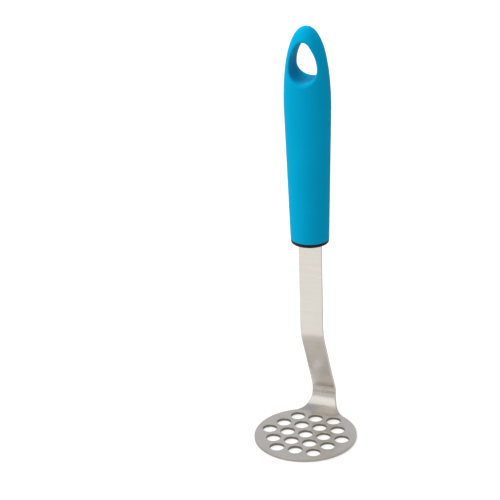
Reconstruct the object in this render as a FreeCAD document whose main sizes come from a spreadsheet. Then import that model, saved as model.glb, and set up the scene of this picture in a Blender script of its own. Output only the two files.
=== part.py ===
import FreeCAD, Part
import math
import os
import Sketcher

# A hand potato masher that stands on its perforated disc. The origin is the centre of the disc's
# underside, X runs across the strip shank, +Y points to the side where the shank leaves the disc,
# and Z runs up the handle. Lengths are millimetres and angles are degrees.
SIZES = {
    # the stamped and bent blade
    "sheet_thickness": 2.0,
    "disc_radius": 32.5,
    "hole_diameter": 9.0,
    "hole_pitch": 12.0,
    "neck_radius": 17.0,
    "heel_width": 15.8,
    "taper_top": 25.0,
    "flare_radius": 13.0,
    "flare_top": 11.8,
    "flare_bottom": 3.0,
    "shank_width": 14.8,
    "shank_setback": 16.4,
    "foot_bend_start": 27.4,
    "foot_bend_radius": 12.0,
    "slant_angle": 25.2,
    "joggle_radius": 28.0,
    "tang_top": 205.0,
    "tang_corner": 3.0,
    # the grip's outside
    "plug_bottom": 128.4,
    "flange_height": 2.1,
    "flange_inset": 0.5,
    "flange_rounding": 0.7,
    "overall_height": 265.0,
    "widest_height": 216.0,
    "base_half_width": 11.9,
    "grip_half_width": 14.45,
    "grip_half_depth": 11.6,
    "front_fullness": 2.2,
    "side_fullness": 4.0,
    "sleeve_wall": 2.0,
    # the hanging eye, an upright teardrop
    "eye_height": 240.5,
    "eye_radius": 8.5,
    "eye_side_radius": 23.4,
    "eye_tip_radius": 4.3,
    # what the core holds
    "socket_clearance": 0.1,
    "spigot_half_width": 9.2,
    "spigot_half_depth": 5.0,
    "spigot_height": 8.0,
    "pin_diameter": 3.0,
    "pin_length": 16.0,
    "lower_pin_height": 152.0,
    "upper_pin_height": 190.0,
}
HOLE_ROWS = (3, 4, 5, 4, 3)
TAPER_SECTIONS = (0, 0.2, 0.4, 0.6, 0.8)
DOME_ANGLES = (0, 12, 24, 36, 48, 60, 70, 78, 84, 88)

os.makedirs("parts", exist_ok=True)
doc = FreeCAD.newDocument("potato_masher")
sheet = doc.addObject("Spreadsheet::Sheet", "Sizes")
for row, (alias, size) in enumerate(SIZES.items(), 1):
    sheet.set(f"A{row}", alias)
    sheet.set(f"B{row}", str(size))
    sheet.setAlias(f"B{row}", alias)
doc.recompute()


def value(expression):
    return float(sheet.evalExpression(expression))


def bind(item, **expressions):
    for name, expression in expressions.items():
        item.setExpression(name.replace("__", "."), expression)


# ---- sketches -------------------------------------------------------------------------------

def body_sketch(body, name, role):
    plane = next(feature for feature in body.Origin.OriginFeatures if feature.Role == role)
    sketch = body.newObject("Sketcher::SketchObject", name)
    sketch.AttachmentSupport = [(plane, "")]
    sketch.MapMode = "FlatFace"
    return sketch


def line(sketch, start, end):
    return sketch.addGeometry(Part.LineSegment(FreeCAD.Vector(*start, 0), FreeCAD.Vector(*end, 0)))


def arc(sketch, centre, radius, start_angle, end_angle):
    circle = Part.Circle(FreeCAD.Vector(*centre, 0), FreeCAD.Vector(0, 0, 1), radius)
    return sketch.addGeometry(
        Part.ArcOfCircle(circle, math.radians(start_angle), math.radians(end_angle)))


def hold(sketch, kind, *where):
    sketch.addConstraint(Sketcher.Constraint(kind, *where))


def measure(sketch, kind, *where):
    # the last argument is the expression that drives the new constraint
    *points, expression = where
    first_value = value(expression)
    if kind == "Angle":
        first_value = math.radians(first_value)
    index = sketch.addConstraint(Sketcher.Constraint(kind, *points, first_value))
    sketch.setExpression(f"Constraints[{index}]", expression)


def rectangle(sketch, low, high):
    # returns the number of its bottom line; the right, top and left lines follow
    corners = [low, (high[0], low[1]), high, (low[0], high[1])]
    first = sketch.GeometryCount
    for index, corner in enumerate(corners):
        line(sketch, corner, corners[(index + 1) % 4])
    for index in range(4):
        hold(sketch, "Coincident", first + index, 2, first + (index + 1) % 4, 1)
    for index in (first, first + 2):
        hold(sketch, "Horizontal", index)
        hold(sketch, "Vertical", index + 1)
    return first


def circle_at(sketch, x_expression, y_expression, diameter_expression):
    centre = FreeCAD.Vector(value(x_expression), value(y_expression), 0)
    radius = value(diameter_expression) / 2
    ring = sketch.addGeometry(Part.Circle(centre, FreeCAD.Vector(0, 0, 1), radius))
    measure(sketch, "DistanceX", -1, 1, ring, 3, x_expression)
    measure(sketch, "DistanceY", -1, 1, ring, 3, y_expression)
    measure(sketch, "Diameter", ring, diameter_expression)


# ---- the blade: one sheet, bent, then trimmed to its outline and punched ----------------------

blade = doc.addObject("PartDesign::Body", "Blade")
blade.Label = "masher_blade"

# The middle of the sheet seen from the side: disc, foot bend, slant, joggle, upright shank.
# In the sketch the first axis is Y and the second is Z.
slant = math.radians(SIZES["slant_angle"])
mid_height = SIZES["sheet_thickness"] / 2
foot_radius = SIZES["foot_bend_radius"]
foot_start = (SIZES["foot_bend_start"], mid_height)
foot_centre = (foot_start[0], mid_height + foot_radius)
foot_end = (foot_centre[0] + foot_radius * math.cos(slant),
            foot_centre[1] + foot_radius * math.sin(slant))
joggle_radius = SIZES["joggle_radius"]
joggle_centre_y = SIZES["shank_setback"] + joggle_radius
joggle_start_y = joggle_centre_y - joggle_radius * math.cos(slant)
joggle_start_z = foot_end[1] + (foot_end[0] - joggle_start_y) / math.tan(slant)
joggle_centre = (joggle_centre_y, joggle_start_z + joggle_radius * math.sin(slant))
sheet_front = (-SIZES["disc_radius"], mid_height)

route = body_sketch(blade, "SheetRoute", "YZ_Plane")
flat_run = line(route, sheet_front, foot_start)
foot_bend = arc(route, foot_centre, foot_radius, -90, SIZES["slant_angle"])
slant_run = line(route, foot_end, (joggle_start_y, joggle_start_z))
joggle_bend = arc(route, joggle_centre, joggle_radius, 180, 180 + SIZES["slant_angle"])
upright_run = line(route, (SIZES["shank_setback"], joggle_centre[1]),
                   (SIZES["shank_setback"], SIZES["tang_top"]))
hold(route, "Horizontal", flat_run)
hold(route, "Tangent", flat_run, 2, foot_bend, 1)
hold(route, "Tangent", foot_bend, 2, slant_run, 1)
hold(route, "Tangent", slant_run, 2, joggle_bend, 2)
hold(route, "Tangent", joggle_bend, 1, upright_run, 1)
hold(route, "Vertical", upright_run)
measure(route, "DistanceX", flat_run, 1, -1, 1, "Sizes.disc_radius")
measure(route, "DistanceY", -1, 1, flat_run, 1, "Sizes.sheet_thickness / 2")
measure(route, "DistanceX", -1, 1, flat_run, 2, "Sizes.foot_bend_start")
measure(route, "Radius", foot_bend, "Sizes.foot_bend_radius")
measure(route, "Radius", joggle_bend, "Sizes.joggle_radius")
measure(route, "Angle", slant_run, "90 + Sizes.slant_angle")
measure(route, "DistanceX", -1, 1, upright_run, 2, "Sizes.shank_setback")
measure(route, "DistanceY", -1, 1, upright_run, 2, "Sizes.tang_top")

# The sheet's cross-section, as wide as the disc, stands at the route's front end.
half_sheet = SIZES["disc_radius"]
section = body_sketch(blade, "SheetSection", "XZ_Plane")
section.AttachmentOffset = FreeCAD.Placement(FreeCAD.Vector(0, 0, half_sheet), FreeCAD.Rotation())
section.setExpression("AttachmentOffset.Base.z", "Sizes.disc_radius")
underside = rectangle(section, (-half_sheet, 0), (half_sheet, SIZES["sheet_thickness"]))
hold(section, "PointOnObject", underside, 1, -1)
measure(section, "DistanceX", underside, 1, -1, 1, "Sizes.disc_radius")
measure(section, "DistanceX", -1, 1, underside, 2, "Sizes.disc_radius")
measure(section, "DistanceY", underside, 2, underside + 1, 2, "Sizes.sheet_thickness")
doc.recompute()

bent_sheet = blade.newObject("PartDesign::AdditivePipe", "BentSheet")
bent_sheet.Profile = section
bent_sheet.Spine = (route, ["Edge1", "Edge2", "Edge3", "Edge4", "Edge5"])
doc.recompute()

# Seen from the front, the sheet is cut back to the strip's width on both sides. The strip widens a
# little down the slant and flares at the heel.
strip_trim = body_sketch(blade, "StripTrim", "XZ_Plane")
trim_reach = SIZES["disc_radius"] + 5
trim_end = SIZES["tang_top"] + 5
flare_radius = SIZES["flare_radius"]
flare_top = SIZES["flare_top"]
flare_turn = math.asin((flare_top - SIZES["flare_bottom"]) / flare_radius)
strip_edge = SIZES["shank_width"] / 2
heel_edge = SIZES["heel_width"] / 2
flare_foot = heel_edge + flare_radius * (1 - math.cos(flare_turn))
for side in (-1, 1):
    # the heel's flare, then round the waste beside the strip
    turn = math.degrees(flare_turn)
    start_angle, end_angle = (180, 180 + turn) if side > 0 else (-turn, 0)
    top_end, foot_end_point = (1, 2) if side > 0 else (2, 1)
    flare = arc(strip_trim, (side * (heel_edge + flare_radius), flare_top), flare_radius,
                start_angle, end_angle)
    below = line(strip_trim, (side * flare_foot, SIZES["flare_bottom"]),
                 (side * trim_reach, SIZES["flare_bottom"]))
    outside = line(strip_trim, (side * trim_reach, SIZES["flare_bottom"]),
                   (side * trim_reach, trim_end))
    above = line(strip_trim, (side * trim_reach, trim_end), (side * strip_edge, trim_end))
    along = line(strip_trim, (side * strip_edge, trim_end),
                 (side * strip_edge, SIZES["taper_top"]))
    taper = line(strip_trim, (side * strip_edge, SIZES["taper_top"]),
                 (side * heel_edge, flare_top))
    hold(strip_trim, "Coincident", flare, foot_end_point, below, 1)
    hold(strip_trim, "Coincident", below, 2, outside, 1)
    hold(strip_trim, "Coincident", outside, 2, above, 1)
    hold(strip_trim, "Coincident", above, 2, along, 1)
    hold(strip_trim, "Coincident", along, 2, taper, 1)
    hold(strip_trim, "Coincident", taper, 2, flare, top_end)
    hold(strip_trim, "Horizontal", below)
    hold(strip_trim, "Horizontal", above)
    hold(strip_trim, "Vertical", outside)
    hold(strip_trim, "Vertical", along)
    edge_points = (along, 1, -1, 1) if side < 0 else (-1, 1, along, 1)
    heel_points = (taper, 2, -1, 1) if side < 0 else (-1, 1, taper, 2)
    reach_points = (outside, 1, -1, 1) if side < 0 else (-1, 1, outside, 1)
    measure(strip_trim, "DistanceX", *edge_points, "Sizes.shank_width / 2")
    measure(strip_trim, "DistanceX", *heel_points, "Sizes.heel_width / 2")
    measure(strip_trim, "DistanceX", *reach_points, "Sizes.disc_radius + 5")
    measure(strip_trim, "Radius", flare, "Sizes.flare_radius")
    measure(strip_trim, "DistanceY", -1, 1, along, 2, "Sizes.taper_top")
    measure(strip_trim, "DistanceY", -1, 1, taper, 2, "Sizes.flare_top")
    measure(strip_trim, "DistanceY", -1, 1, flare, 3, "Sizes.flare_top")
    measure(strip_trim, "DistanceY", -1, 1, below, 1, "Sizes.flare_bottom")
    measure(strip_trim, "DistanceY", -1, 1, above, 1, "Sizes.tang_top + 5")
cut_strip = blade.newObject("PartDesign::Pocket", "CutStrip")
cut_strip.Profile = strip_trim
cut_strip.Type = "ThroughAll"
cut_strip.Midplane = True
doc.recompute()

# Below that, the disc's circle runs through two hollow neck arcs into the strip.
outline_trim = body_sketch(blade, "OutlineTrim", "XY_Plane")
disc_radius = SIZES["disc_radius"]
neck_radius = SIZES["neck_radius"]
neck_x = heel_edge + neck_radius
neck_y = math.sqrt((disc_radius + neck_radius) ** 2 - neck_x ** 2)
neck_angle = math.degrees(math.atan2(neck_y, neck_x))
strip_end = SIZES["foot_bend_start"] + 3 * SIZES["foot_bend_radius"]
disc_edge = arc(outline_trim, (0, 0), disc_radius, 180 - neck_angle, 360 + neck_angle)
right_neck = arc(outline_trim, (neck_x, neck_y), neck_radius, 180, 180 + neck_angle)
left_neck = arc(outline_trim, (-neck_x, neck_y), neck_radius, -neck_angle, 0)
right_side = line(outline_trim, (neck_x - neck_radius, neck_y), (neck_x - neck_radius, strip_end))
end_side = line(outline_trim, (neck_x - neck_radius, strip_end), (neck_radius - neck_x, strip_end))
left_side = line(outline_trim, (neck_radius - neck_x, strip_end), (neck_radius - neck_x, neck_y))
hold(outline_trim, "Coincident", disc_edge, 3, -1, 1)
hold(outline_trim, "Tangent", disc_edge, 2, right_neck, 2)
hold(outline_trim, "Tangent", right_neck, 1, right_side, 1)
hold(outline_trim, "Tangent", disc_edge, 1, left_neck, 1)
hold(outline_trim, "Tangent", left_neck, 2, left_side, 2)
hold(outline_trim, "Coincident", right_side, 2, end_side, 1)
hold(outline_trim, "Coincident", end_side, 2, left_side, 1)
hold(outline_trim, "Vertical", right_side)
hold(outline_trim, "Vertical", left_side)
hold(outline_trim, "Horizontal", end_side)
measure(outline_trim, "Radius", disc_edge, "Sizes.disc_radius")
measure(outline_trim, "Radius", right_neck, "Sizes.neck_radius")
measure(outline_trim, "Radius", left_neck, "Sizes.neck_radius")
measure(outline_trim, "DistanceX", -1, 1, right_side, 1, "Sizes.heel_width / 2")
measure(outline_trim, "DistanceX", left_side, 2, -1, 1, "Sizes.heel_width / 2")
measure(outline_trim, "DistanceY", -1, 1, right_side, 2,
        "Sizes.foot_bend_start + 3 * Sizes.foot_bend_radius")
reach = 2 * disc_radius
waste = rectangle(outline_trim, (-reach, -reach), (reach, reach))
hold(outline_trim, "Symmetric", waste, 1, waste + 2, 1, -1, 1)
measure(outline_trim, "DistanceX", waste, 1, waste, 2, "4 * Sizes.disc_radius")
measure(outline_trim, "DistanceY", waste + 1, 1, waste + 1, 2, "4 * Sizes.disc_radius")
cut_outline = blade.newObject("PartDesign::Pocket", "CutOutline")
cut_outline.Profile = outline_trim
cut_outline.Type = "Length"
cut_outline.Reversed = True
bind(cut_outline, Length="Sizes.foot_bend_radius")
doc.recompute()

# Round holes in offset rows, the same pitch in every direction.
hole_sketch = body_sketch(blade, "HolePattern", "XY_Plane")
for row, count in enumerate(HOLE_ROWS):
    row_shift = row - (len(HOLE_ROWS) - 1) / 2
    for place in range(count):
        along = place - (count - 1) / 2
        circle_at(hole_sketch, f"Sizes.hole_pitch * {along}",
                  f"Sizes.hole_pitch * {row_shift} * sin(60 deg)", "Sizes.hole_diameter")
punch = blade.newObject("PartDesign::Pocket", "PunchHoles")
punch.Profile = hole_sketch
punch.Type = "Length"
punch.Reversed = True
bind(punch, Length="2 * Sizes.sheet_thickness")
doc.recompute()

pin_sketch = body_sketch(blade, "PinHoles", "XZ_Plane")
for pin in ("lower", "upper"):
    circle_at(pin_sketch, "0", f"Sizes.{pin}_pin_height", "Sizes.pin_diameter")
drill = blade.newObject("PartDesign::Pocket", "DrillPinHoles")
drill.Profile = pin_sketch
drill.Type = "ThroughAll"
drill.Midplane = True
doc.recompute()

# The tang's two top corners are rounded.
def is_top_corner(edge):
    upright_y = abs(edge.BoundBox.YLength - SIZES["sheet_thickness"]) < 0.01
    at_top = abs(edge.BoundBox.ZMin - SIZES["tang_top"]) < 0.01
    return upright_y and at_top and edge.BoundBox.XLength < 0.01


top_corners = [f"Edge{number}" for number, edge in enumerate(drill.Shape.Edges, 1)
               if is_top_corner(edge)]
round_tang = blade.newObject("PartDesign::Fillet", "RoundTang")
round_tang.Base = (drill, top_corners)
bind(round_tang, Radius="Sizes.tang_corner")
doc.recompute()
for feature in (bent_sheet, cut_strip, cut_outline, punch, drill, round_tang):
    print(f"{feature.Name} volume {feature.Shape.Volume:.1f}")


# ---- the grip: oval sections lofted up to a rounded, pointed top -------------------------------

def oval(name, half_width, half_depth, height):
    ring = doc.addObject("Part::Ellipse", name)
    ring.MajorRadius = value(half_width)
    bind(ring, MajorRadius=half_width, MinorRadius=f"min({half_depth}; {half_width})",
         Placement__Base__y="Sizes.shank_setback", Placement__Base__z=height)
    return ring


def grip_loft(name, inset):
    # the grip's outer form, or one that lies inside it by the inset
    rings = []
    for fraction in TAPER_SECTIONS:
        half_width = (f"Sizes.base_half_width + {fraction} * "
                      f"(Sizes.grip_half_width - Sizes.base_half_width) - {inset}")
        height = (f"Sizes.plug_bottom + Sizes.flange_height + {fraction} * "
                  "(Sizes.widest_height - Sizes.plug_bottom - Sizes.flange_height)")
        rings.append(oval(f"{name}Ring{len(rings)}", half_width,
                          f"Sizes.grip_half_depth - {inset}", height))
    for angle in DOME_ANGLES:
        rise = f"sin({angle} deg)"
        half_width = (f"(Sizes.grip_half_width - {inset}) * "
                      f"pow(1 - pow({rise}; Sizes.front_fullness); 1 / Sizes.front_fullness)")
        half_depth = (f"(Sizes.grip_half_depth - {inset}) * "
                      f"pow(1 - pow({rise}; Sizes.side_fullness); 1 / Sizes.side_fullness)")
        height = (f"Sizes.widest_height + {rise} * "
                  f"(Sizes.overall_height - Sizes.widest_height - {inset})")
        rings.append(oval(f"{name}Ring{len(rings)}", half_width, half_depth, height))
    loft = doc.addObject("Part::Loft", name)
    loft.Sections = rings
    loft.Solid = True
    loft.MaxDegree = 3
    return loft


def extrude(name, profile, direction, length, midplane=False):
    prism = doc.addObject("Part::Extrusion", name)
    prism.Base = profile
    prism.DirMode = "Custom"
    prism.Dir = direction
    prism.Solid = True
    prism.Symmetric = midplane
    bind(prism, LengthFwd=length)
    return prism


def eye_cutter(name, growth):
    # a teardrop drawn in the X-Z plane: bottom arc, two long side arcs and a small tip arc
    sketch = doc.addObject("Sketcher::SketchObject", name + "Outline")
    sketch.Placement = FreeCAD.Placement(FreeCAD.Vector(), FreeCAD.Rotation(FreeCAD.Vector(1, 0, 0), 90))
    bind(sketch, Placement__Base__y="Sizes.shank_setback")
    centre_z = SIZES["eye_height"]
    side_offset = SIZES["eye_side_radius"] - SIZES["eye_radius"]
    tip_reach = SIZES["eye_side_radius"] - SIZES["eye_tip_radius"]
    tip_z = centre_z + math.sqrt(tip_reach ** 2 - side_offset ** 2)
    side_angle = math.degrees(math.acos(side_offset / tip_reach))
    extra = value(growth)
    bottom = arc(sketch, (0, centre_z), SIZES["eye_radius"] + extra, 180, 360)
    right = arc(sketch, (-side_offset, centre_z), SIZES["eye_side_radius"] + extra, 0, side_angle)
    tip = arc(sketch, (0, tip_z), SIZES["eye_tip_radius"] + extra, side_angle, 180 - side_angle)
    left = arc(sketch, (side_offset, centre_z), SIZES["eye_side_radius"] + extra,
               180 - side_angle, 180)
    hold(sketch, "Tangent", bottom, 2, right, 1)
    hold(sketch, "Tangent", right, 2, tip, 1)
    hold(sketch, "Tangent", tip, 2, left, 1)
    hold(sketch, "Tangent", left, 2, bottom, 1)
    hold(sketch, "PointOnObject", bottom, 3, -2)
    hold(sketch, "PointOnObject", tip, 3, -2)
    hold(sketch, "Horizontal", bottom, 3, right, 3)
    measure(sketch, "DistanceY", -1, 1, bottom, 3, "Sizes.eye_height")
    measure(sketch, "Radius", bottom, f"Sizes.eye_radius + {growth}")
    measure(sketch, "Radius", right, f"Sizes.eye_side_radius + {growth}")
    measure(sketch, "Radius", left, f"Sizes.eye_side_radius + {growth}")
    measure(sketch, "Radius", tip, f"Sizes.eye_tip_radius + {growth}")
    return extrude(name, sketch, (0, 1, 0), "4 * Sizes.grip_half_depth", midplane=True)


def cut(name, base, tool):
    result = doc.addObject("Part::Cut", name)
    result.Base = base
    result.Tool = tool
    return result


outer_form = grip_loft("OuterForm", "0")
core_form = grip_loft("CoreForm", "Sizes.sleeve_wall")
core_with_eye = cut("CoreWithEye", core_form, eye_cutter("CoreEye", "Sizes.sleeve_wall"))
shell = cut("SleeveShell", outer_form, core_with_eye)
sleeve = cut("GripSleeve", shell, eye_cutter("SleeveEye", "0"))
sleeve.Label = "grip_sleeve"
doc.recompute()


# ---- the core: socket for the tang, recess for the plug, holes for the two pins ----------------

def plate(name, width, depth, bottom, top):
    block = doc.addObject("Part::Box", name)
    bind(block, Length=width, Width=depth, Height=f"{top} - ({bottom})",
         Placement__Base__x=f"-({width}) / 2", Placement__Base__y=f"Sizes.shank_setback - ({depth}) / 2",
         Placement__Base__z=bottom)
    return block


def pin(name, diameter, length, height):
    rod = doc.addObject("Part::Cylinder", name)
    rod.Placement = FreeCAD.Placement(FreeCAD.Vector(), FreeCAD.Rotation(FreeCAD.Vector(1, 0, 0), -90))
    bind(rod, Radius=f"{diameter} / 2", Height=length, Placement__Base__z=height,
         Placement__Base__y=f"Sizes.shank_setback - ({length}) / 2")
    return rod


socket_width = "Sizes.shank_width + 2 * Sizes.socket_clearance"
socket_depth = "Sizes.sheet_thickness + 2 * Sizes.socket_clearance"
grip_bottom = "Sizes.plug_bottom + Sizes.flange_height"
spigot_top = f"{grip_bottom} + Sizes.spigot_height"

socket = plate("TangSocket", socket_width, socket_depth, grip_bottom,
               "(Sizes.tang_top + Sizes.socket_clearance)")
recess_outline = oval("RecessOutline", "Sizes.spigot_half_width + Sizes.socket_clearance",
                      "Sizes.spigot_half_depth + Sizes.socket_clearance", grip_bottom)
recess = extrude("PlugRecess", recess_outline, (0, 0, 1),
                 "Sizes.spigot_height + Sizes.socket_clearance")
core_tools = doc.addObject("Part::MultiFuse", "CoreTools")
core_tools.Shapes = [socket, recess] + [
    pin(f"{side.title()}PinBore", "Sizes.pin_diameter", "Sizes.pin_length",
        f"Sizes.{side}_pin_height") for side in ("lower", "upper")]
core = cut("HandleCore", core_with_eye, core_tools)
core.Label = "handle_core"

tang_pins = []
for side in ("lower", "upper"):
    rod = pin(f"{side.title()}TangPin", "Sizes.pin_diameter", "Sizes.pin_length",
              f"Sizes.{side}_pin_height")
    rod.Label = f"tang_pin_{side}"
    tang_pins.append(rod)


# ---- the end plug: a flange that shows below the sleeve, and a spigot in the core --------------

flange_outline = oval("FlangeOutline", "Sizes.base_half_width - Sizes.flange_inset",
                      "Sizes.grip_half_depth - Sizes.flange_inset", "Sizes.plug_bottom")
flange = extrude("Flange", flange_outline, (0, 0, 1), "Sizes.flange_height")
spigot_outline = oval("SpigotOutline", "Sizes.spigot_half_width", "Sizes.spigot_half_depth",
                      "Sizes.plug_bottom")
spigot = extrude("Spigot", spigot_outline, (0, 0, 1), "Sizes.flange_height + Sizes.spigot_height")
plug_body = doc.addObject("Part::Fuse", "PlugBody")
plug_body.Base = flange
plug_body.Tool = spigot
plug_slot = plate("PlugSlot", socket_width, socket_depth, "Sizes.plug_bottom - 1",
                  f"({spigot_top} + 1)")
slotted_plug = cut("SlottedPlug", plug_body, plug_slot)
doc.recompute()


def lies_at(edge, height):
    box = edge.BoundBox
    return max(abs(box.ZMin - height), abs(box.ZMax - height)) < 0.01


def reaches(edge, half_width):
    return edge.BoundBox.XMax > half_width - 0.2


flange_edge = [number for number, edge in enumerate(slotted_plug.Shape.Edges, 1)
               if lies_at(edge, SIZES["plug_bottom"])
               and reaches(edge, SIZES["base_half_width"] - SIZES["flange_inset"])]
plug = doc.addObject("Part::Fillet", "EndPlug")
plug.Base = slotted_plug
plug.Edges = [(number, SIZES["flange_rounding"], SIZES["flange_rounding"]) for number in flange_edge]
plug.Label = "end_plug"
doc.recompute()


# ---- checks and files --------------------------------------------------------------------------

sub_parts = [blade, sleeve, core, plug] + tang_pins
for item in doc.Objects:
    if {"Invalid", "Error"} & set(item.State):
        raise RuntimeError(f"{item.Name} failed: {item.State}")
for piece in sub_parts:
    shape = piece.Shape
    if shape.isNull() or not shape.isValid() or len(shape.Solids) != 1:
        raise RuntimeError(f"{piece.Label} has no valid single solid")
    box = shape.BoundBox
    print(f"{piece.Label}: {box.XLength:.2f} x {box.YLength:.2f} x {box.ZLength:.2f} mm, "
          f"{shape.Volume / 1000:.2f} cm3")
    shape.exportStep(f"parts/{piece.Label}.step")
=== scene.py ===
import math
import bmesh
import bpy
from mathutils import Matrix, Vector


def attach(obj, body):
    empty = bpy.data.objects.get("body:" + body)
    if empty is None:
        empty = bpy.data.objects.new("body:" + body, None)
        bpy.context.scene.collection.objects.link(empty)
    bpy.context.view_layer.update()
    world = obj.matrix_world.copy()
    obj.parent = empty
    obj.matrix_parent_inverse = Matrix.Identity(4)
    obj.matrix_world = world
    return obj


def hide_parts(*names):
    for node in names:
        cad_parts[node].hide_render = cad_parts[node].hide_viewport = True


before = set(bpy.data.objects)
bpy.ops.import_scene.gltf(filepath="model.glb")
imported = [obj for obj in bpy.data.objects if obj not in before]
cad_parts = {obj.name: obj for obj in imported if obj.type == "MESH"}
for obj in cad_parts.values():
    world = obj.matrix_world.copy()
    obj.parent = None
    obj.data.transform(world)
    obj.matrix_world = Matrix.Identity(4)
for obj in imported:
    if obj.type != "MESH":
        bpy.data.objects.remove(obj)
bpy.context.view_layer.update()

# Each piece's dictionary is in millimetres and degrees; meshes, finishes and the stage are in
# metres.

mm = 0.001
mergeDistance = 0.002 * mm      # points nearer than this are one point


def makePiece(name, mesh, nodes, materials):
    piece = bpy.data.objects.new(name, mesh)
    bpy.context.scene.collection.objects.link(piece)
    for material in materials:
        piece.data.materials.append(material)
    for polygon in piece.data.polygons:
        polygon.use_smooth = True
    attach(piece, "root")
    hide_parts(*nodes)
    return piece


def meshFrom(bm, name):
    bmesh.ops.remove_doubles(bm, verts=bm.verts, dist=mergeDistance)
    bmesh.ops.recalc_face_normals(bm, faces=bm.faces)
    mesh = bpy.data.meshes.new(name)
    bm.to_mesh(mesh)
    bm.free()
    return mesh


# finishes

def newMaterial(name):
    material = bpy.data.materials.new(name)
    material.use_nodes = True
    tree = material.node_tree
    return material, tree, tree.nodes["Principled BSDF"]


def addNode(tree, kind, settings=None, inputs=None):
    node = tree.nodes.new(kind)
    for name, setting in (settings or {}).items():
        setattr(node, name, setting)
    for name, source in (inputs or {}).items():
        socket = node.inputs[name]
        if isinstance(source, bpy.types.NodeSocket):
            tree.links.new(source, socket)
        else:
            socket.default_value = source
    return node


def newGroup(name, floats, outputs):
    # a node group with a vector input and float inputs, each with its usual value
    group = bpy.data.node_groups.new(name, "ShaderNodeTree")
    group.interface.new_socket("Vector", in_out="INPUT", socket_type="NodeSocketVector")
    for label, usual in floats.items():
        socket = group.interface.new_socket(label, in_out="INPUT", socket_type="NodeSocketFloat")
        socket.default_value = usual
    for label, kind in outputs.items():
        group.interface.new_socket(label, in_out="OUTPUT", socket_type=kind)
    start = group.nodes.new("NodeGroupInput")
    end = group.nodes.new("NodeGroupOutput")
    return group, start.outputs, end.inputs


def placeGroup(tree, group, inputs):
    return addNode(tree, "ShaderNodeGroup", {"node_tree": group}, inputs).outputs


def makeSpeckleGroup():
    # a moulded or rolled surface: slow drift of tone, fine speckle and the height of its grain
    group, given, result = newGroup(
        "surfaceSpeckle", {"Drift Scale": 40.0, "Grain Scale": 4000.0, "Drift": 0.5},
        {"Tone": "NodeSocketFloat", "Grain": "NodeSocketFloat"})
    drift = addNode(group, "ShaderNodeTexNoise", {},
                    {"Vector": given["Vector"], "Scale": given["Drift Scale"], "Detail": 2.0})
    grain = addNode(group, "ShaderNodeTexNoise", {},
                    {"Vector": given["Vector"], "Scale": given["Grain Scale"], "Detail": 1.5,
                     "Roughness": 0.6})
    tone = addNode(group, "ShaderNodeMix", {"data_type": "FLOAT"},
                   {"Factor": given["Drift"], "A": grain.outputs["Fac"], "B": drift.outputs["Fac"]})
    group.links.new(tone.outputs["Result"], result["Tone"])
    group.links.new(grain.outputs["Fac"], result["Grain"])
    return group


def makeStreakGroup():
    # marks drawn out along one axis of the vector, as brushing and drawing leave them
    group, given, result = newGroup(
        "drawnStreaks", {"Across": 900.0, "Along": 12.0},
        {"Fine": "NodeSocketFloat", "Broad": "NodeSocketFloat"})
    scales = addNode(group, "ShaderNodeCombineXYZ", {},
                     {"X": given["Across"], "Y": given["Along"], "Z": given["Along"]})
    drawn = addNode(group, "ShaderNodeVectorMath", {"operation": "MULTIPLY"},
                    {0: given["Vector"], 1: scales.outputs["Vector"]})
    fine = addNode(group, "ShaderNodeTexNoise", {},
                   {"Vector": drawn.outputs["Vector"], "Scale": 1.0, "Detail": 3.0,
                    "Roughness": 0.65})
    slower = addNode(group, "ShaderNodeVectorMath", {"operation": "SCALE"},
                     {0: drawn.outputs["Vector"], "Scale": 0.22})
    broad = addNode(group, "ShaderNodeTexNoise", {},
                    {"Vector": slower.outputs["Vector"], "Scale": 1.0, "Detail": 2.0})
    group.links.new(fine.outputs["Fac"], result["Fine"])
    group.links.new(broad.outputs["Fac"], result["Broad"])
    return group


speckleGroup = makeSpeckleGroup()
streakGroup = makeStreakGroup()


def blendColor(tree, factor, first, second):
    # sockets 6 and 7 are the mix node's colours A and B, and output 2 its colour
    return addNode(tree, "ShaderNodeMix", {"data_type": "RGBA"},
                   {"Factor": factor, 6: first, 7: second}).outputs[2]


def remap(tree, source, low, high, toLow, toHigh):
    return addNode(tree, "ShaderNodeMapRange", {},
                   {"Value": source, "From Min": low, "From Max": high, "To Min": toLow,
                    "To Max": toHigh}).outputs["Result"]


def addBump(tree, shader, height, distance, under=None):
    # distance is the real height of one full step; under is the normal of a bump below this one
    bump = addNode(tree, "ShaderNodeBump", {},
                   {"Height": height, "Strength": 1.0, "Distance": distance})
    if under:
        tree.links.new(under, bump.inputs["Normal"])
    tree.links.new(bump.outputs["Normal"], shader.inputs["Normal"])


silicone = {
    "color": (0.0, 0.252, 0.438),
    "light": (0.0, 0.272, 0.465),       # where the tone drifts lighter
    "roughness": 0.7,
    "specular": 0.02,
    "grainDepth": 0.00003,
}


def makeSilicone():
    material, tree, shader = newMaterial("blueSilicone")
    place = addNode(tree, "ShaderNodeTexCoord").outputs["Object"]
    speckle = placeGroup(tree, speckleGroup, {"Vector": place, "Drift Scale": 45.0,
                                              "Grain Scale": 2600.0, "Drift": 0.45})
    share = remap(tree, speckle["Tone"], 0.38, 0.62, 0.0, 1.0)
    color = blendColor(tree, share, (*silicone["color"], 1), (*silicone["light"], 1))
    tree.links.new(color, shader.inputs["Base Color"])
    rough = remap(tree, speckle["Tone"], 0.3, 0.7, silicone["roughness"] - 0.06,
                  silicone["roughness"] + 0.06)
    tree.links.new(rough, shader.inputs["Roughness"])
    shader.inputs["Specular IOR Level"].default_value = silicone["specular"]
    addBump(tree, shader, speckle["Grain"], silicone["grainDepth"])
    return material


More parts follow.
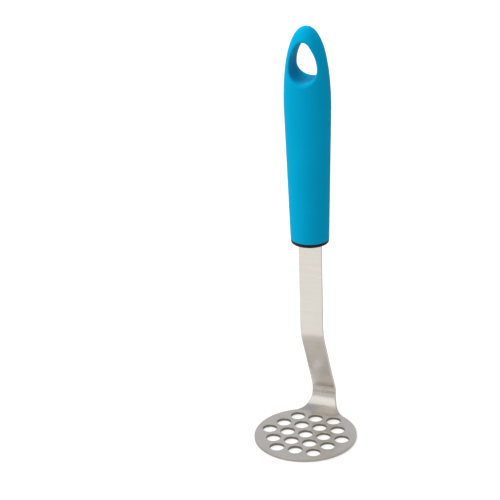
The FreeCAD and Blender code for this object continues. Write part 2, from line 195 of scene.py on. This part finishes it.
steel = {
    "light": (0.665, 0.63, 0.585),
    "dark": (0.58, 0.545, 0.50),
    "holeShadeColor": (0.17, 0.13, 0.085),        # painted shade and a painted reflection of a dark floor on the punched hole walls, partly the sheared steel's own dull tone
    "holeShadeAmount": 0.85,
    "cut": (0.33, 0.30, 0.265),
    "cutShade": 0.9,                    # how far the sheared edge goes to its darker tone, partly its own dull tone and partly painted shade for a dark reflection
    "cutDulling": 0.2,                  # and how much rougher it is
    "roughness": 0.29,
    "streakAcross": 620.0,              # brushed streaks along the blank, on its flat map
    "streakAlong": 3.0,
    "streakDepth": 0.000004,
    "bandAcross": 1.5,                  # faint bands across the strip: painted reflections in the colour, and waves in the bump
    "bandAlong": 42.0,
    "bandDepth": 0.00012,
}


def makeSteel():
    # brushed along the blank, whose own flat map it reads, with duller cut faces; painted shade and
    # painted reflections darken the cut faces, the hole walls and faint bands across the strip
    material, tree, shader = newMaterial("satinSteel")
    place = addNode(tree, "ShaderNodeUVMap", {"uv_map": "blank"}).outputs["UV"]
    solidPlace = addNode(tree, "ShaderNodeTexCoord").outputs["Object"]
    streaks = placeGroup(tree, streakGroup, {"Vector": place, "Across": steel["streakAcross"],
                                             "Along": steel["streakAlong"]})
    bands = placeGroup(tree, streakGroup, {"Vector": place, "Across": steel["bandAcross"],
                                           "Along": steel["bandAlong"]})
    speckle = placeGroup(tree, speckleGroup, {"Vector": solidPlace, "Drift Scale": 60.0,
                                              "Grain Scale": 5000.0, "Drift": 0.8})
    share = remap(tree, streaks["Fine"], 0.3, 0.7, 0.0, 0.4)
    brushed = blendColor(tree, share, (*steel["light"], 1), (*steel["dark"], 1))
    # faint bands across the strip are painted darker: painted reflections of the surroundings
    drift = remap(tree, bands["Fine"], 0.35, 0.65, 0.0, 0.5)
    reflectionBanded = blendColor(tree, drift, brushed, (*steel["dark"], 1))
    punched = addNode(tree, "ShaderNodeAttribute", {"attribute_name": "punched"}).outputs["Fac"]
    cutFace = addNode(tree, "ShaderNodeAttribute", {"attribute_name": "cutFace"}).outputs["Fac"]
    # the sheared edges are painted darker: partly their own dull tone, partly painted shade standing
    # for a dark reflection
    edged = blendColor(tree, remap(tree, cutFace, 0.75, 1.0, 0.0, steel["cutShade"]), reflectionBanded,
                       (*steel["cut"], 1))
    # the hole walls are painted dark brown: painted shade and a painted reflection of a dark floor,
    # partly the sheared steel's own dull tone
    shadedHoleWalls = blendColor(tree, remap(tree, punched, 0.4, 0.9, 0.0, steel["holeShadeAmount"]), edged,
                         (*steel["holeShadeColor"], 1))
    tree.links.new(shadedHoleWalls, shader.inputs["Base Color"])
    rough = remap(tree, speckle["Tone"], 0.3, 0.7, steel["roughness"] - 0.04,
                  steel["roughness"] + 0.04)
    dulled = addNode(tree, "ShaderNodeMath", {"operation": "MULTIPLY_ADD"},
                     {0: cutFace, 1: steel["cutDulling"], 2: rough}).outputs["Value"]
    tree.links.new(dulled, shader.inputs["Roughness"])
    shader.inputs["Metallic"].default_value = 1.0
    waves = addNode(tree, "ShaderNodeBump", {},
                    {"Height": bands["Broad"], "Strength": 1.0, "Distance": steel["bandDepth"]})
    addBump(tree, shader, streaks["Fine"], steel["streakDepth"], waves.outputs["Normal"])
    return material


wire = {
    "smoothest": 0.25,
    "roughest": 0.4,
    "streakAcross": 2500.0,
    "streakAlong": 60.0,
}


def makeDrawnSteel():
    # the two hidden pins: drawn wire, streaked along its length
    material, tree, shader = newMaterial("drawnSteel")
    place = addNode(tree, "ShaderNodeTexCoord").outputs["Object"]
    streaks = placeGroup(tree, streakGroup, {"Vector": place, "Across": wire["streakAcross"],
                                             "Along": wire["streakAlong"]})
    color = blendColor(tree, streaks["Fine"], (*steel["light"], 1), (*steel["dark"], 1))
    tree.links.new(color, shader.inputs["Base Color"])
    rough = remap(tree, streaks["Broad"], 0.3, 0.7, wire["smoothest"], wire["roughest"])
    tree.links.new(rough, shader.inputs["Roughness"])
    shader.inputs["Metallic"].default_value = 1.0
    return material


plastic = {
    "color": (0.003, 0.003, 0.0032),
    "light": (0.008, 0.008, 0.0085),
    "roughness": 0.45,
    "specular": 0.12,
    "grainDepth": 0.00002,
}


def makePlastic(name, grainScale, lift):
    # moulded black plastic; a lift above one makes it that much lighter
    material, tree, shader = newMaterial(name)
    place = addNode(tree, "ShaderNodeTexCoord").outputs["Object"]
    speckle = placeGroup(tree, speckleGroup, {"Vector": place, "Drift Scale": 90.0,
                                              "Grain Scale": grainScale, "Drift": 0.4})
    light = [channel * lift for channel in plastic["light"]]
    color = blendColor(tree, speckle["Tone"], (*plastic["color"], 1), (*light, 1))
    tree.links.new(color, shader.inputs["Base Color"])
    rough = remap(tree, speckle["Tone"], 0.3, 0.7, plastic["roughness"] - 0.07,
                  plastic["roughness"] + 0.07)
    tree.links.new(rough, shader.inputs["Roughness"])
    shader.inputs["Specular IOR Level"].default_value = plastic["specular"]
    addBump(tree, shader, speckle["Grain"], plastic["grainDepth"])
    return material


blueSilicone = makeSilicone()
satinSteel = makeSteel()
drawnSteel = makeDrawnSteel()
blackPlastic = makePlastic("blackPlastic", 3000.0, 1.0)
blackNylon = makePlastic("blackNylon", 1500.0, 1.6)
print("finishes done")


# the grip sleeve

grip = {
    "bottom": 130.5,            # where the sleeve starts, above the disc's underside
    "top": 265.0,
    "widestHeight": 216.0,
    "setback": 16.4,            # the handle's axis, behind the disc's centre
    "baseHalfWidth": 11.9,
    "halfWidth": 14.45,
    "halfDepth": 11.6,
    "frontFullness": 2.2,       # 2 makes the top an ellipse from the front, and more is squarer
    "sideFullness": 4.0,        # the same from the side
    "baseRounding": 0.6,
    "seamHeight": 226.0,        # the eye's loops meet the handle's rings here
    "eyeHeight": 240.5,         # the centre of the eye's round bottom
    "eyeRadius": 8.5,
    "eyeSideRadius": 23.4,
    "eyeTipRadius": 4.3,
    "eyeRounding": 1.8,
    "eyeWallSteps": (0.0, 0.3, 0.6, 0.85),  # loops on the eye's wall, from the middle to the front
    "spokeRise": 2.0,           # the spokes' centre, above the eye's widest height
    "eyeSpokes": 84,            # faces round the eye above the seam
    "ringFaces": 28,            # faces round the handle's front half
    "roundingFaces": 5,         # faces across each rounded edge
    "faceLoops": 12,            # loops from the eye's edge out to the silhouette
    "shaftRings": 36,           # rings from the seam down to the base
    "wall": 2.0,
    "innerTop": 229.0,          # where the hollow for the core ends, below the eye
}


def halfWidthAt(z):
    if z <= grip["widestHeight"]:
        part = (z - grip["bottom"]) / (grip["widestHeight"] - grip["bottom"])
        return grip["baseHalfWidth"] + part * (grip["halfWidth"] - grip["baseHalfWidth"])
    rise = min(1, (z - grip["widestHeight"]) / (grip["top"] - grip["widestHeight"]))
    power = grip["frontFullness"]
    return grip["halfWidth"] * (1 - rise ** power) ** (1 / power)


def halfDepthAt(z):
    if z <= grip["widestHeight"]:
        return grip["halfDepth"]
    rise = min(1, (z - grip["widestHeight"]) / (grip["top"] - grip["widestHeight"]))
    power = grip["sideFullness"]
    return min(halfWidthAt(z), grip["halfDepth"] * (1 - rise ** power) ** (1 / power))


def frontDepth(x, z):
    # how far the surface stands in front of the handle's middle plane
    width = halfWidthAt(z)
    if width <= 0 or abs(x) >= width:
        return 0.0
    return halfDepthAt(z) * math.sqrt(1 - (x / width) ** 2)


def eyeDistance(x, z):
    # signed distance from the eye's outline, negative inside the eye
    rise = z - grip["eyeHeight"]
    if rise <= 0:
        return math.hypot(x, rise) - grip["eyeRadius"]
    sideOffset = grip["eyeSideRadius"] - grip["eyeRadius"]
    tipRise = math.sqrt((grip["eyeSideRadius"] - grip["eyeTipRadius"]) ** 2 - sideOffset ** 2)
    if (rise - tipRise) * sideOffset > abs(x) * tipRise:
        return math.hypot(x, rise - tipRise) - grip["eyeTipRadius"]
    return math.hypot(abs(x) + sideOffset, rise) - grip["eyeSideRadius"]


def alongRay(centre, direction, reach, isInside):
    # the distance at which a ray from the centre leaves a region
    low, high = 0.0, reach
    halvings = 50
    for step in range(halvings):
        middle = (low + high) / 2
        if isInside(centre[0] + direction[0] * middle, centre[1] + direction[1] * middle):
            low = middle
        else:
            high = middle
    return low


def buildSleeve():
    seam = grip["seamHeight"]
    centre = (0.0, grip["eyeHeight"] + grip["spokeRise"])
    seamWidth = halfWidthAt(seam)
    # where each spoke ends: round the silhouette from the seam's right corner over the top to its
    # left corner, then along the seam across the front
    corner = math.atan2(seam - centre[1], seamWidth)
    spokes = []
    sweep = math.pi - 2 * corner
    for index in range(grip["eyeSpokes"] + 1):
        angle = corner + sweep * index / grip["eyeSpokes"]
        direction = (math.cos(angle), math.sin(angle))
        reach = alongRay(centre, direction, 2 * (grip["top"] - seam),
                         lambda x, z: z < grip["top"] and abs(x) < halfWidthAt(z))
        spokes.append((centre[0] + direction[0] * reach, centre[1] + direction[1] * reach))
    for index in range(1, grip["ringFaces"]):
        turn = math.pi * index / grip["ringFaces"]
        spokes.append((-seamWidth * math.cos(turn), seam))

    def onSpoke(end, part):
        return centre[0] + (end[0] - centre[0]) * part, centre[1] + (end[1] - centre[1]) * part

    def eyeReach(end, growth):
        # the part of a spoke that lies inside the eye's outline, grown by a distance
        span = math.hypot(end[0] - centre[0], end[1] - centre[1])
        direction = ((end[0] - centre[0]) / span, (end[1] - centre[1]) / span)
        reach = alongRay(centre, direction, span, lambda x, z: eyeDistance(x, z) < growth)
        return reach / span

    rounding = grip["eyeRounding"]
    loops = []
    wall = [(end, eyeReach(end, 0)) for end in spokes]
    for share in grip["eyeWallSteps"]:
        loop = []
        for end, part in wall:
            x, z = onSpoke(end, part)
            loop.append((x, share * (frontDepth(x, z) - rounding), z))
        loops.append(loop)
    roundingFaces = grip["roundingFaces"]
    for step in range(roundingFaces + 1):
        turn = math.pi / 2 * step / roundingFaces
        growth = rounding * (1 - math.cos(turn))
        drop = rounding * (1 - math.sin(turn))
        loop = []
        for end in spokes:
            x, z = onSpoke(end, eyeReach(end, growth))
            loop.append((x, frontDepth(x, z) - drop, z))
        loops.append(loop)
    for step in range(1, grip["faceLoops"] + 1):
        share = math.sin(math.pi / 2 * step / grip["faceLoops"])
        loop = []
        for end in spokes:
            start = eyeReach(end, rounding)
            x, z = onSpoke(end, start + (1 - start) * share)
            loop.append((x, frontDepth(x, z), z))
        loops.append(loop)

    bm = bmesh.new()
    made = bmesh.ops.create_circle(bm, segments=len(spokes), radius=1)
    ring = made["verts"]
    ring.sort(key=lambda v: math.atan2(v.co.y, v.co.x) % (2 * math.pi))

    def place(verts, points):
        for vert, (x, depth, z) in zip(verts, points):
            vert.co = Vector((x, grip["setback"] - depth, z)) * mm

    place(ring, loops[0])
    for points in loops[1:]:
        edges = [bm.edges.get((ring[i], ring[(i + 1) % len(ring)])) for i in range(len(ring))]
        grown = bmesh.ops.extrude_edge_only(bm, edges=edges)
        fresh = [item for item in grown["geom"] if isinstance(item, bmesh.types.BMVert)]
        # each fresh vertex still lies on the one that it came from
        partner = {}
        for vert in fresh:
            for edge in vert.link_edges:
                other = edge.other_vert(vert)
                if other not in fresh and (other.co - vert.co).length == 0:
                    partner[other] = vert
        ring = [partner[vert] for vert in ring]
        place(ring, points)
    # the back half is the front half mirrored in the handle's middle plane
    toMiddle = Matrix.Translation((0, -grip["setback"] * mm, 0))
    bmesh.ops.mirror(bm, geom=bm.verts[:] + bm.edges[:] + bm.faces[:], matrix=toMiddle,
                     merge_dist=mergeDistance, axis="Y")
    bmesh.ops.remove_doubles(bm, verts=bm.verts, dist=mergeDistance)

    # the open edge at the seam runs down the handle in rings
    border = [edge for edge in bm.edges if edge.is_boundary]
    bottom, edgeRound, rings = grip["bottom"], grip["baseRounding"], grip["shaftRings"]
    shapes = []
    for step in range(1, rings + 1):
        z = seam + (bottom + edgeRound - seam) * step / rings
        shapes.append((z, halfWidthAt(z), halfDepthAt(z)))
    for step in range(1, roundingFaces + 1):
        turn = math.pi / 2 * step / roundingFaces
        inset = edgeRound * (1 - math.cos(turn))
        z = bottom + edgeRound * (1 - math.sin(turn))
        shapes.append((z, halfWidthAt(bottom) - inset, halfDepthAt(bottom) - inset))
    # the inner wall goes back up to a flat end; above it the piece is solid
    for step in range(rings + 1):
        z = bottom + (grip["innerTop"] - bottom) * step / rings
        shapes.append((z, halfWidthAt(z) - grip["wall"], halfDepthAt(z) - grip["wall"]))
    depthNow, widthNow = halfDepthAt(seam), halfWidthAt(seam)
    for z, width, depth in shapes:
        grown = bmesh.ops.extrude_edge_only(bm, edges=border)
        fresh = [item for item in grown["geom"] if isinstance(item, bmesh.types.BMVert)]
        border = [item for item in grown["geom"] if isinstance(item, bmesh.types.BMEdge)
                  and item.is_boundary]
        for vert in fresh:
            vert.co.x *= width / widthNow
            vert.co.y = grip["setback"] * mm + (vert.co.y - grip["setback"] * mm) * depth / depthNow
            vert.co.z = z * mm
        widthNow, depthNow = width, depth
    bmesh.ops.contextual_create(bm, geom=border)
    return meshFrom(bm, "gripSleeve")


sleeve = makePiece("gripSleeve", buildSleeve(), ["grip_sleeve"], [blueSilicone])
print("sleeve done, points:", len(sleeve.data.vertices))


# the blade: a flat blank that is punched, rounded at its edges and then bent

blade = {
    "thickness": 2.0,
    "discRadius": 32.5,
    "holeRows": (3, 4, 5, 4, 3),
    "holePitch": 12.0,
    "holeDiameter": 9.0,
    "neckRadius": 20.0,
    "heelWidth": 15.8,
    "shankWidth": 14.8,
    "taperLength": 13.5,        # from the heel's width to the shank's, along the blank
    "footBendStart": 27.4,      # where the flat disc turns up, behind its centre
    "footBendRadius": 12.0,
    "slantDegrees": 25.2,
    "joggleRadius": 28.0,
    "tangTop": 205.0,
    "tangCorner": 3.0,
    "edgeRounding": 0.42,
    "holeFaces": 40,
    "discFaces": 128,
    "neckFaces": 24,
    "cornerFaces": 6,
    "footCuts": 28,             # cross-cuts that let each bend run smooth
    "joggleCuts": 14,
    "mapSize": 100.0,           # millimetres of blank to one unit of its flat map
    "tolerance": 0.001,
}


def bladeRoute():
    # where the sheet's middle bends, as lengths along the flat blank, and the slant's lower end
    slant = math.radians(blade["slantDegrees"])
    footRadius, joggleRadius = blade["footBendRadius"], blade["joggleRadius"]
    footEnd = blade["footBendStart"] + footRadius * (math.pi / 2 + slant)
    leanFrom = blade["footBendStart"] + footRadius * math.cos(slant)
    leanTo = grip["setback"] + joggleRadius * (1 - math.cos(slant))
    joggleStart = footEnd + (leanFrom - leanTo) / math.sin(slant)
    joggleEnd = joggleStart + joggleRadius * slant
    footHeight = blade["thickness"] / 2 + footRadius * (1 + math.sin(slant))
    joggleHeight = footHeight + (leanFrom - leanTo) / math.tan(slant)
    uprightHeight = joggleHeight + joggleRadius * math.sin(slant)
    return {"slant": slant, "footEnd": footEnd, "joggleStart": joggleStart, "joggleEnd": joggleEnd,
            "lean": (leanFrom, footHeight), "uprightHeight": uprightHeight,
            "tangEnd": joggleEnd + blade["tangTop"] - uprightHeight}


def bend(route, along, above):
    # carries a point of the flat blank, at a length along it and a height above its middle, to
    # the bent sheet; returns the new (y, z)
    start, slant = blade["footBendStart"], route["slant"]
    if along <= start:
        return along, blade["thickness"] / 2 + above
    if along <= route["footEnd"]:
        turn = (along - start) / blade["footBendRadius"]
        radius = blade["footBendRadius"] - above
        return (start + radius * math.sin(turn),
                blade["thickness"] / 2 + blade["footBendRadius"] - radius * math.cos(turn))
    if along <= route["joggleStart"]:
        run = along - route["footEnd"]
        y, z = route["lean"]
        return (y - run * math.sin(slant) - above * math.cos(slant),
                z + run * math.cos(slant) - above * math.sin(slant))
    if along <= route["joggleEnd"]:
        turn = slant - (along - route["joggleStart"]) / blade["joggleRadius"]
        radius = blade["joggleRadius"] + above
        return (grip["setback"] + blade["joggleRadius"] - radius * math.cos(turn),
                route["uprightHeight"] - radius * math.sin(turn))
    return grip["setback"] - above, route["uprightHeight"] + along - route["joggleEnd"]


def holeCentres():
    centres = []
    rows = blade["holeRows"]
    for row, count in enumerate(rows):
        y = (row - (len(rows) - 1) / 2) * blade["holePitch"] * math.sin(math.radians(60))
        for place in range(count):
            centres.append(((place - (count - 1) / 2) * blade["holePitch"], y))
    return centres


def drawArc(bm, vert, centre, degrees, steps):
    made = bmesh.ops.spin(bm, geom=[vert], cent=(centre[0], centre[1], 0), axis=(0, 0, 1), steps=steps,
                          angle=math.radians(degrees), use_merge=False, use_duplicate=False)
    return next(item for item in made["geom_last"] if isinstance(item, bmesh.types.BMVert))


def drawLine(bm, vert, target):
    made = bmesh.ops.extrude_vert_indiv(bm, verts=[vert])
    made["verts"][0].co = Vector((target[0], target[1], 0))
    return made["verts"][0]


def buildBlade():
    route = bladeRoute()
    half, heel = blade["shankWidth"] / 2, blade["heelWidth"] / 2
    neckX = heel + blade["neckRadius"]
    neckY = math.sqrt((blade["discRadius"] + blade["neckRadius"]) ** 2 - neckX ** 2)
    neckTurn = math.degrees(math.atan2(neckY, neckX))
    corner, tangEnd = blade["tangCorner"], route["tangEnd"]
    taperEnd = neckY + blade["taperLength"]
    bm = bmesh.new()
    # the outline, drawn from the top of the right neck arc round the disc and up the strip
    first = bm.verts.new((heel, neckY, 0))
    vert = drawArc(bm, first, (neckX, neckY), neckTurn, blade["neckFaces"])
    vert = drawArc(bm, vert, (0, 0), -180 - 2 * neckTurn, blade["discFaces"])
    vert = drawArc(bm, vert, (-neckX, neckY), neckTurn, blade["neckFaces"])
    vert = drawLine(bm, vert, (-half, taperEnd))
    vert = drawLine(bm, vert, (-half, tangEnd - corner))
    vert = drawArc(bm, vert, (corner - half, tangEnd - corner), -90, blade["cornerFaces"])
    vert = drawLine(bm, vert, (half - corner, tangEnd))
    vert = drawArc(bm, vert, (half - corner, tangEnd - corner), -90, blade["cornerFaces"])
    vert = drawLine(bm, vert, (half, taperEnd))
    bm.edges.new((vert, first))
    bmesh.ops.remove_doubles(bm, verts=bm.verts, dist=blade["tolerance"])
    for x, y in holeCentres():
        bmesh.ops.create_circle(bm, segments=blade["holeFaces"], radius=blade["holeDiameter"] / 2,
                                matrix=Matrix.Translation((x, y, 0)))
    bmesh.ops.triangle_fill(bm, edges=bm.edges[:], use_beauty=True)
    walls = bmesh.ops.extrude_face_region(bm, geom=bm.faces[:])
    raised = [item for item in walls["geom"] if isinstance(item, bmesh.types.BMVert)]
    bmesh.ops.translate(bm, verts=raised, vec=(0, 0, blade["thickness"]))
    bmesh.ops.translate(bm, verts=bm.verts, vec=(0, 0, -blade["thickness"] / 2))
    bmesh.ops.recalc_face_normals(bm, faces=bm.faces)
    # the edges between the sheet's skins and its sheared walls are rounded
    rims = [edge for edge in bm.edges if edge.calc_face_angle(0) > math.radians(60)]
    bmesh.ops.bevel(bm, geom=rims, offset=blade["edgeRounding"], offset_type="OFFSET", segments=3,
                    profile=0.5, affect="EDGES", material=-1, clamp_overlap=False)

    # cross-cuts, on which the flat sheet then bends
    for start, end, count in (
            (blade["footBendStart"], route["footEnd"], blade["footCuts"]),
            (route["joggleStart"], route["joggleEnd"], blade["joggleCuts"])):
        for step in range(count + 1):
            along = start + (end - start) * step / count
            bmesh.ops.bisect_plane(bm, geom=bm.verts[:] + bm.edges[:] + bm.faces[:], dist=0.0001,
                                   plane_co=(0, along, 0), plane_no=(0, 1, 0))

    # the flat place of each point is kept for the grain, and each edge's cut face is marked
    flat = bm.loops.layers.uv.new("blank")
    for face in bm.faces:
        for loop in face.loops:
            loop[flat].uv = loop.vert.co.xy / blade["mapSize"]
    cutFace = bm.verts.layers.float.new("cutFace")
    punched = bm.verts.layers.float.new("punched")
    rounding = blade["edgeRounding"]
    holes = holeCentres()
    for vert in bm.verts:
        fromSkin = blade["thickness"] / 2 - abs(vert.co.z)
        vert[cutFace] = min(1, fromSkin / rounding)
        away = min(math.hypot(vert.co.x - x, vert.co.y - y) for x, y in holes)
        inHole = away < blade["holeDiameter"] / 2 + rounding + blade["tolerance"]
        vert[punched] = vert[cutFace] if inHole else 0
        y, z = bend(route, vert.co.y, vert.co.z)
        vert.co = Vector((vert.co.x, y, z)) * mm
    bmesh.ops.recalc_face_normals(bm, faces=bm.faces)
    mesh = bpy.data.meshes.new("masherBlade")
    bm.to_mesh(mesh)
    bm.free()
    return mesh


def sharpenEdges(piece, degrees):
    # creases sharper than the angle stay crisp in the shading
    piece.data.set_sharp_from_angle(angle=math.radians(degrees))


def weighNormals(piece):
    # large faces lead the shading, so flat runs stay flat beside rounded edges
    weighting = piece.modifiers.new("evenNormals", "WEIGHTED_NORMAL")
    weighting.mode = "FACE_AREA"
    weighting.weight = 80
    weighting.keep_sharp = False


masherBlade = makePiece("masherBlade", buildBlade(), ["masher_blade"], [satinSteel])
weighNormals(masherBlade)
print("blade done, points:", len(masherBlade.data.vertices))


# the end plug, whose flange shows below the sleeve

plug = {
    "bottom": 128.4,
    "sideInset": 0.15,          # how far the flange stands in from the sleeve's outside
    "rounding": 0.7,
    "flatRim": 1.4,             # the flat ring inside the rounded edge
    "slotWidth": 15.0,
    "slotDepth": 2.2,
    "slotChamfer": 0.3,
    "height": 10.1,             # the flange and the spigot above it, which goes into the core
    "spigotHalfWidth": 9.2,
    "spigotHalfDepth": 5.0,
    "lap": 0.3,                 # how far the flange stands up inside the sleeve's rounded base
    "roundingFaces": 6,
    "faces": 72,
}


def extrudeRing(bm, edges):
    # extrudes a ring of edges where it stands; returns the new ring's edges and vertices
    grown = bmesh.ops.extrude_edge_only(bm, edges=edges)["geom"]
    fresh = [item for item in grown if isinstance(item, bmesh.types.BMVert)]
    ring = [edge for edge in grown if isinstance(edge, bmesh.types.BMEdge)
            and edge.verts[0] in fresh and edge.verts[1] in fresh]
    return ring, fresh


def buildPlug():
    bm = bmesh.new()
    width = grip["baseHalfWidth"] - plug["sideInset"]
    depth = grip["halfDepth"] - plug["sideInset"]
    bottom, rounding = plug["bottom"], plug["rounding"]
    shelf, top = grip["bottom"] + plug["lap"], bottom + plug["height"]
    # down the spigot, out along the shelf under the sleeve and round the flange's edge
    levels = [(plug["spigotHalfWidth"], plug["spigotHalfDepth"], shelf), (width, depth, shelf),
              (width, depth, bottom + rounding)]
    for step in range(1, plug["roundingFaces"] + 1):
        turn = math.pi / 2 * step / plug["roundingFaces"]
        inset = rounding * (1 - math.cos(turn))
        levels.append((width - inset, depth - inset, bottom + rounding * (1 - math.sin(turn))))
    inset = rounding + plug["flatRim"]
    levels.append((width - inset, depth - inset, bottom))
    bmesh.ops.create_circle(bm, segments=plug["faces"], radius=1)
    widthNow, depthNow = plug["spigotHalfWidth"], plug["spigotHalfDepth"]
    bmesh.ops.scale(bm, verts=bm.verts, vec=(widthNow, depthNow, 1))
    bmesh.ops.translate(bm, verts=bm.verts, vec=(0, 0, top))
    topRing = bm.edges[:]
    ring = topRing
    for ringWidth, ringDepth, height in levels:
        ring, fresh = extrudeRing(bm, ring)
        bmesh.ops.scale(bm, verts=fresh, vec=(ringWidth / widthNow, ringDepth / depthNow, 1))
        widthNow, depthNow = ringWidth, ringDepth
        for vert in fresh:
            vert.co.z = height
    # the slot that the shank passes through, with a small chamfer round its mouth
    chamfer = plug["slotChamfer"]
    slot = bmesh.ops.create_grid(bm, x_segments=1, y_segments=1, size=0.5)["verts"]
    bmesh.ops.scale(bm, verts=slot, vec=(plug["slotWidth"] + 2 * chamfer,
                                         plug["slotDepth"] + 2 * chamfer, 1))
    bmesh.ops.translate(bm, verts=slot, vec=(0, 0, bottom))
    mouth = list({edge for vert in slot for edge in vert.link_edges})
    bmesh.ops.delete(bm, geom=list({face for vert in slot for face in vert.link_faces}),
                     context="FACES_ONLY")
    bmesh.ops.bridge_loops(bm, edges=ring + mouth)
    for height in (bottom + chamfer, top):
        mouth, fresh = extrudeRing(bm, mouth)
        for vert in fresh:
            vert.co.x = math.copysign(plug["slotWidth"] / 2, vert.co.x)
            vert.co.y = math.copysign(plug["slotDepth"] / 2, vert.co.y)
            vert.co.z = height
    bmesh.ops.bridge_loops(bm, edges=topRing + mouth)
    bmesh.ops.translate(bm, verts=bm.verts, vec=(0, grip["setback"], 0))
    bmesh.ops.scale(bm, verts=bm.verts, vec=(mm, mm, mm))
    return meshFrom(bm, "endPlug")


endPlug = makePiece("endPlug", buildPlug(), ["end_plug"], [blackPlastic])
sharpenEdges(endPlug, 40)
print("plug done, points:", len(endPlug.data.vertices))

# the hidden core and pins keep their own shapes
for nodeName, material in (("handle_core", blackNylon), ("tang_pin_lower", drawnSteel),
                           ("tang_pin_upper", drawnSteel)):
    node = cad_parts[nodeName]
    node.data.materials.clear()
    node.data.materials.append(material)
print("core and pins finished")


# floor, light and camera

stageLook = {
    "floorSize": 24.0,
    "floorDrop": 0.0001,        # the disc's underside and the floor would otherwise be one plane
    "floorColor": (0.32, 0.32, 0.32),
    "floorRoughness": 0.9,
    "floorGlow": 0.58,
    "worldColor": (0.52, 0.53, 0.56),
    "skyColor": (0.75, 0.75, 0.76),
    "lensMm": 124.083,
    "sensorMm": 36.0,
    "eye": (0.31016, -0.90442, 0.54988),
    "forward": (-0.32519, 0.85602, -0.40185),
    "rollDegrees": -1.98756,
    "farthest": 60.0,
}
# soft lamps aimed at a height up the handle; one that isn't mirrored leaves no shape in the steel
softboxes = {
    "keyLight": {"place": (-1.25, -0.6, 1.1), "aimHeight": 0.12, "size": (1.2, 1.2), "watts": 22,
                 "color": (1.0, 0.985, 0.93), "mirrored": False},
    "topLight": {"place": (-0.15, 0.1, 1.75), "aimHeight": 0.2, "size": (1.1, 1.1), "watts": 18,
                 "color": (1.0, 0.99, 0.97), "mirrored": False},
    "eyeLight": {"place": (-0.45, 1.2, 0.95), "aimHeight": 0.24, "size": (0.7, 0.7), "watts": 13,
                 "color": (1.0, 1.0, 1.0), "mirrored": False},
    "frontPanel": {"place": (-0.42, -1.1, 1.05), "aimHeight": 0.1, "size": (1.1, 1.7), "watts": 4.6,
                   "color": (1.0, 0.98, 0.94), "mirrored": True},
    "backPanel": {"place": (-0.65, 1.7, 0.85), "aimHeight": 0.0, "size": (1.8, 1.1), "watts": 1.25,
                  "color": (0.98, 0.99, 1.0), "mirrored": True},
}


def buildStage():
    bm = bmesh.new()
    bmesh.ops.create_grid(bm, x_segments=1, y_segments=1, size=stageLook["floorSize"] / 2)
    bmesh.ops.translate(bm, verts=bm.verts, vec=(0, 0, -stageLook["floorDrop"]))
    floor = bpy.data.objects.new("floor", meshFrom(bm, "floor"))
    bpy.context.scene.collection.objects.link(floor)
    paper, tree, paperShader = newMaterial("paleFloor")
    paperShader.inputs["Base Color"].default_value = (*stageLook["floorColor"], 1)
    paperShader.inputs["Roughness"].default_value = stageLook["floorRoughness"]
    paperShader.inputs["Emission Color"].default_value = (1, 1, 1, 1)
    paperShader.inputs["Emission Strength"].default_value = stageLook["floorGlow"]
    # the paper's back is clear, so that the object can be looked at from below
    clear = addNode(tree, "ShaderNodeBsdfTransparent")
    facing = addNode(tree, "ShaderNodeNewGeometry").outputs["Backfacing"]
    oneSided = addNode(tree, "ShaderNodeMixShader", {},
                       {0: facing, 1: paperShader.outputs["BSDF"], 2: clear.outputs["BSDF"]})
    tree.links.new(oneSided.outputs["Shader"], tree.nodes["Material Output"].inputs["Surface"])
    floor.data.materials.append(paper)
    # the sky lights with one tone and is seen in another, that of the floor far away
    world = bpy.data.worlds.new("studio")
    world.use_nodes = True
    sky = world.node_tree
    seen = addNode(sky, "ShaderNodeLightPath").outputs["Is Camera Ray"]
    tone = blendColor(sky, seen, (*stageLook["worldColor"], 1), (*stageLook["skyColor"], 1))
    sky.links.new(tone, sky.nodes["Background"].inputs["Color"])
    bpy.context.scene.world = world


def addSoftbox(name, look):
    lamp = bpy.data.lights.new(name, "AREA")
    lamp.shape = "RECTANGLE"
    lamp.size, lamp.size_y = look["size"]
    lamp.energy = look["watts"]
    lamp.color = look["color"]
    holder = bpy.data.objects.new(name, lamp)
    bpy.context.scene.collection.objects.link(holder)
    holder.location = look["place"]
    aim = Vector((0, 0, look["aimHeight"])) - holder.location
    holder.rotation_euler = aim.to_track_quat("-Z", "Y").to_euler()
    holder.visible_camera = False
    holder.visible_glossy = look["mirrored"]


def addCamera():
    forward = Vector(stageLook["forward"]).normalized()
    right = forward.cross(Vector((0, 0, 1))).normalized()
    up = right.cross(forward)
    roll = math.radians(stageLook["rollDegrees"])
    cameraX = math.cos(roll) * right + math.sin(roll) * up
    cameraY = -math.sin(roll) * right + math.cos(roll) * up
    lens = bpy.data.cameras.new("camera")
    lens.lens = stageLook["lensMm"]
    lens.sensor_width = stageLook["sensorMm"]
    lens.clip_end = stageLook["farthest"]
    camera = bpy.data.objects.new("camera", lens)
    bpy.context.scene.collection.objects.link(camera)
    turn = Matrix((cameraX, cameraY, -forward)).transposed().to_4x4()
    camera.matrix_world = Matrix.Translation(stageLook["eye"]) @ turn
    bpy.context.scene.camera = camera


buildStage()
for name, look in softboxes.items():
    addSoftbox(name, look)
addCamera()
bpy.context.scene.view_settings.view_transform = "Standard"
print("stage done")
